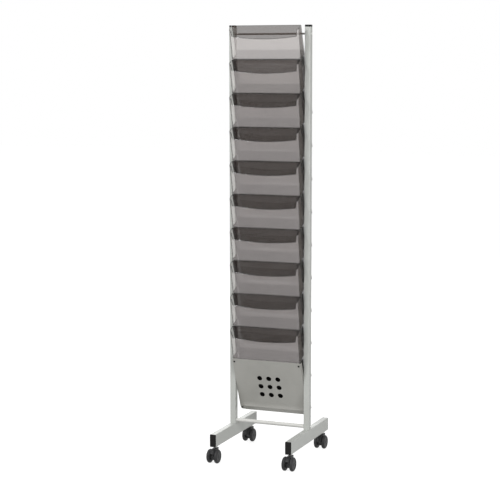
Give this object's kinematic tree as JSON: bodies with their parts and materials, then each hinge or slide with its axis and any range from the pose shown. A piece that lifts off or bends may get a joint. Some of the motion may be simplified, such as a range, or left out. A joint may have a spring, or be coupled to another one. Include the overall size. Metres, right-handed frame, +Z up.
{
  "type": "catalog stand",
  "caption": "Tall narrow catalog stand on braked twin-wheel casters, with smoke plastic pocket trays leaning between silver tube posts above a perforated panel.",
  "frame": {"origin": "on the floor, midway between the two posts", "axes": "+X to the stand's right as seen from the front, +Y to the back, +Z up; the trays open to -Y"},
  "size_m": [0.2892, 0.362, 1.3654],
  "materials": {
    "silver_paint": "satin silver paint",
    "silver_sheet": "satin silver paint",
    "bright_steel": "bright plating",
    "zinc_steel": "zinc plating",
    "black_screw": "black oxide",
    "black_plastic": "matte",
    "caster_plastic": "satin",
    "wheel_plastic": "satin",
    "smoke_plastic": "translucent smoke tint, glossy"
  },
  "bodies": {
    "stand": {"left_post": "silver_paint", "right_post": "silver_paint", "left_post_cap": "black_plastic", "right_post_cap": "black_plastic", "left_foot": "silver_paint", "right_foot": "silver_paint", "left_foot_front_cap": "black_plastic", "left_foot_rear_cap": "black_plastic", "right_foot_front_cap": "black_plastic", "right_foot_rear_cap": "black_plastic", "top_rod": "bright_steel", "bottom_rail": "bright_steel", "top_rod_screw_left": "bright_steel", "top_rod_screw_right": "bright_steel", "bottom_rail_screw_left": "bright_steel", "bottom_rail_screw_right": "bright_steel", "tray_01": "smoke_plastic", "tray_02": "smoke_plastic", "tray_03": "smoke_plastic", "tray_04": "smoke_plastic", "tray_05": "smoke_plastic", "tray_06": "smoke_plastic", "tray_07": "smoke_plastic", "tray_08": "smoke_plastic", "tray_09": "smoke_plastic", "tray_10": "smoke_plastic", "base_panel": "silver_sheet", "left_panel_bracket": "silver_sheet", "right_panel_bracket": "silver_sheet", "panel_screw_top_left": "black_screw", "panel_screw_top_right": "black_screw", "panel_screw_bottom_left": "black_screw", "panel_screw_bottom_right": "black_screw", "caster_front_left_stem": "zinc_steel", "caster_front_right_stem": "zinc_steel", "caster_rear_left_stem": "zinc_steel", "caster_rear_right_stem": "zinc_steel"},
    "caster_front_left": {"caster_front_left_hood": "caster_plastic", "caster_front_left_axle": "zinc_steel"},
    "caster_front_left_wheel_left": {"caster_front_left_wheel_left": "wheel_plastic"},
    "caster_front_left_wheel_right": {"caster_front_left_wheel_right": "wheel_plastic"},
    "caster_front_left_brake": {"caster_front_left_brake": "caster_plastic"},
    "caster_front_right": {"caster_front_right_hood": "caster_plastic", "caster_front_right_axle": "zinc_steel"},
    "caster_front_right_wheel_left": {"caster_front_right_wheel_left": "wheel_plastic"},
    "caster_front_right_wheel_right": {"caster_front_right_wheel_right": "wheel_plastic"},
    "caster_front_right_brake": {"caster_front_right_brake": "caster_plastic"},
    "caster_rear_left": {"caster_rear_left_hood": "caster_plastic", "caster_rear_left_axle": "zinc_steel"},
    "caster_rear_left_wheel_left": {"caster_rear_left_wheel_left": "wheel_plastic"},
    "caster_rear_left_wheel_right": {"caster_rear_left_wheel_right": "wheel_plastic"},
    "caster_rear_right": {"caster_rear_right_hood": "caster_plastic", "caster_rear_right_axle": "zinc_steel"},
    "caster_rear_right_wheel_left": {"caster_rear_right_wheel_left": "wheel_plastic"},
    "caster_rear_right_wheel_right": {"caster_rear_right_wheel_right": "wheel_plastic"}
  },
  "joints": [
    {"name": "caster_front_left_swivel", "type": "hinge", "parent": "stand", "child": "caster_front_left", "pos_m": [-0.126, -0.1482, 0.0462], "axis": [0, 0, 1], "continuous": true},
    {"name": "caster_front_left_wheel_left_spin", "type": "hinge", "parent": "caster_front_left", "child": "caster_front_left_wheel_left", "pos_m": [-0.126, -0.1652, 0.022], "axis": [1, 0, 0], "continuous": true},
    {"name": "caster_front_left_wheel_right_spin", "type": "hinge", "parent": "caster_front_left", "child": "caster_front_left_wheel_right", "pos_m": [-0.126, -0.1652, 0.022], "axis": [1, 0, 0], "continuous": true},
    {"name": "caster_front_left_brake_press", "type": "hinge", "parent": "caster_front_left", "child": "caster_front_left_brake", "pos_m": [-0.126, -0.17132, 0.04334], "axis": [1, 0, 0], "range_deg": [0, 12]},
    {"name": "caster_front_right_swivel", "type": "hinge", "parent": "stand", "child": "caster_front_right", "pos_m": [0.126, -0.1482, 0.0462], "axis": [0, 0, 1], "continuous": true},
    {"name": "caster_front_right_wheel_left_spin", "type": "hinge", "parent": "caster_front_right", "child": "caster_front_right_wheel_left", "pos_m": [0.126, -0.1652, 0.022], "axis": [1, 0, 0], "continuous": true},
    {"name": "caster_front_right_wheel_right_spin", "type": "hinge", "parent": "caster_front_right", "child": "caster_front_right_wheel_right", "pos_m": [0.126, -0.1652, 0.022], "axis": [1, 0, 0], "continuous": true},
    {"name": "caster_front_right_brake_press", "type": "hinge", "parent": "caster_front_right", "child": "caster_front_right_brake", "pos_m": [0.126, -0.17132, 0.04334], "axis": [1, 0, 0], "range_deg": [0, 12]},
    {"name": "caster_rear_left_swivel", "type": "hinge", "parent": "stand", "child": "caster_rear_left", "pos_m": [-0.126, 0.1482, 0.0462], "axis": [0, 0, 1], "continuous": true},
    {"name": "caster_rear_left_wheel_left_spin", "type": "hinge", "parent": "caster_rear_left", "child": "caster_rear_left_wheel_left", "pos_m": [-0.126, 0.1312, 0.022], "axis": [1, 0, 0], "continuous": true},
    {"name": "caster_rear_left_wheel_right_spin", "type": "hinge", "parent": "caster_rear_left", "child": "caster_rear_left_wheel_right", "pos_m": [-0.126, 0.1312, 0.022], "axis": [1, 0, 0], "continuous": true},
    {"name": "caster_rear_right_swivel", "type": "hinge", "parent": "stand", "child": "caster_rear_right", "pos_m": [0.126, 0.1482, 0.0462], "axis": [0, 0, 1], "continuous": true},
    {"name": "caster_rear_right_wheel_left_spin", "type": "hinge", "parent": "caster_rear_right", "child": "caster_rear_right_wheel_left", "pos_m": [0.126, 0.1312, 0.022], "axis": [1, 0, 0], "continuous": true},
    {"name": "caster_rear_right_wheel_right_spin", "type": "hinge", "parent": "caster_rear_right", "child": "caster_rear_right_wheel_right", "pos_m": [0.126, 0.1312, 0.022], "axis": [1, 0, 0], "continuous": true}
  ]
}
